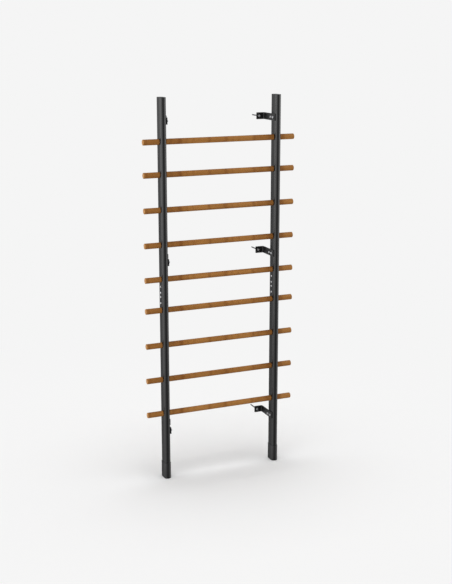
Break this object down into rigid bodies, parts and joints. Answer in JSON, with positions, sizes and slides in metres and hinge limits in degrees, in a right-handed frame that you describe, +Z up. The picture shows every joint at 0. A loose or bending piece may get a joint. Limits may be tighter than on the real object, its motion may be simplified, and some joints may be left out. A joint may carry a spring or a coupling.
{
  "type": "swedish wall bars",
  "caption": "Climbing and stretching frame for a wall: round wooden rungs through flat-oval steel posts, spliced at half height, on angle brackets with wall screws.",
  "frame": {"origin": "on the floor, under the middle of the box round the whole part, between the two posts", "axes": "+X along the rungs from the left post to the right post, +Y towards the wall behind, +Z up"},
  "size_m": [0.99, 0.266, 2.386],
  "materials": {
    "charcoal_powder_coat": "satin powder coat, charcoal",
    "black_powder_coat": "satin powder coat, black",
    "oiled_wood": "turned and oiled, grain along the rung",
    "zinc_steel": "bright zinc plate",
    "bare_steel": "cold-drawn, oiled",
    "black_plastic": "moulded, fine grain"
  },
  "bodies": {
    "root": {"left_post_lower": "charcoal_powder_coat", "left_post_upper": "charcoal_powder_coat", "left_splice_sleeve": "bare_steel", "left_foot_sleeve": "black_plastic", "left_top_cap": "black_plastic", "left_splice_bolt_1": "zinc_steel", "left_splice_bolt_2": "zinc_steel", "left_splice_bolt_3": "zinc_steel", "left_splice_bolt_4": "zinc_steel", "right_post_lower": "charcoal_powder_coat", "right_post_upper": "charcoal_powder_coat", "right_splice_sleeve": "bare_steel", "right_foot_sleeve": "black_plastic", "right_top_cap": "black_plastic", "right_splice_bolt_1": "zinc_steel", "right_splice_bolt_2": "zinc_steel", "right_splice_bolt_3": "zinc_steel", "right_splice_bolt_4": "zinc_steel", "rung_1": "oiled_wood", "rung_2": "oiled_wood", "rung_3": "oiled_wood", "rung_4": "oiled_wood", "rung_5": "oiled_wood", "rung_6": "oiled_wood", "rung_7": "oiled_wood", "rung_8": "oiled_wood", "rung_9": "oiled_wood", "rung_screw_1": "zinc_steel", "rung_screw_2": "zinc_steel", "rung_screw_3": "zinc_steel", "rung_screw_4": "zinc_steel", "rung_screw_5": "zinc_steel", "rung_screw_6": "zinc_steel", "rung_screw_7": "zinc_steel", "rung_screw_8": "zinc_steel", "rung_screw_9": "zinc_steel", "left_upper_bracket": "black_powder_coat", "left_upper_bracket_bolt_front": "zinc_steel", "left_upper_bracket_bolt_rear": "zinc_steel", "left_upper_wall_screw": "zinc_steel", "left_middle_bracket": "black_powder_coat", "left_middle_bracket_bolt_front": "zinc_steel", "left_middle_bracket_bolt_rear": "zinc_steel", "left_middle_wall_screw": "zinc_steel", "left_lower_bracket": "black_powder_coat", "left_lower_bracket_bolt_front": "zinc_steel", "left_lower_bracket_bolt_rear": "zinc_steel", "left_lower_wall_screw": "zinc_steel", "right_upper_bracket": "black_powder_coat", "right_upper_bracket_bolt_front": "zinc_steel", "right_upper_bracket_bolt_rear": "zinc_steel", "right_upper_wall_screw": "zinc_steel", "right_middle_bracket": "black_powder_coat", "right_middle_bracket_bolt_front": "zinc_steel", "right_middle_bracket_bolt_rear": "zinc_steel", "right_middle_wall_screw": "zinc_steel", "right_lower_bracket": "black_powder_coat", "right_lower_bracket_bolt_front": "zinc_steel", "right_lower_bracket_bolt_rear": "zinc_steel", "right_lower_wall_screw": "zinc_steel"}
  },
  "joints": []
}
